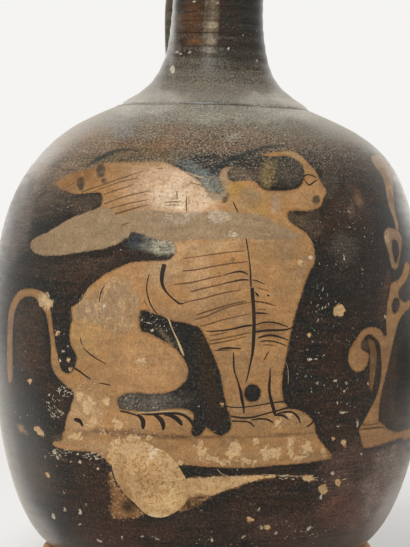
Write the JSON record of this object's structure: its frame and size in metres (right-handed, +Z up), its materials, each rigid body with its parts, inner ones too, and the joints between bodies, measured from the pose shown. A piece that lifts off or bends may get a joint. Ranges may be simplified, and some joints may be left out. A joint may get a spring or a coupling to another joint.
{
  "type": "squat lekythos",
  "caption": "Squat round-bellied oil flask on a ring foot, with a narrow leaning neck, flared mouth, strap handle at the back and a plaster repair low on its painted front.",
  "frame": {"origin": "on the belly's axis, on the plane that the foot stands on", "axes": "+Z up along the belly's axis, +Y towards the handle, so the painted front faces -Y"},
  "size_m": [0.1088, 0.1088, 0.1756],
  "materials": {
    "black_gloss": "semi-gloss slip, worn",
    "bare_clay": "matt",
    "plaster": "rough, toned"
  },
  "bodies": {
    "root": {"foot": "bare_clay", "body": "black_gloss", "belly_fill": "plaster", "handle": "black_gloss", "neck": "black_gloss", "mouth": "black_gloss"}
  },
  "joints": []
}
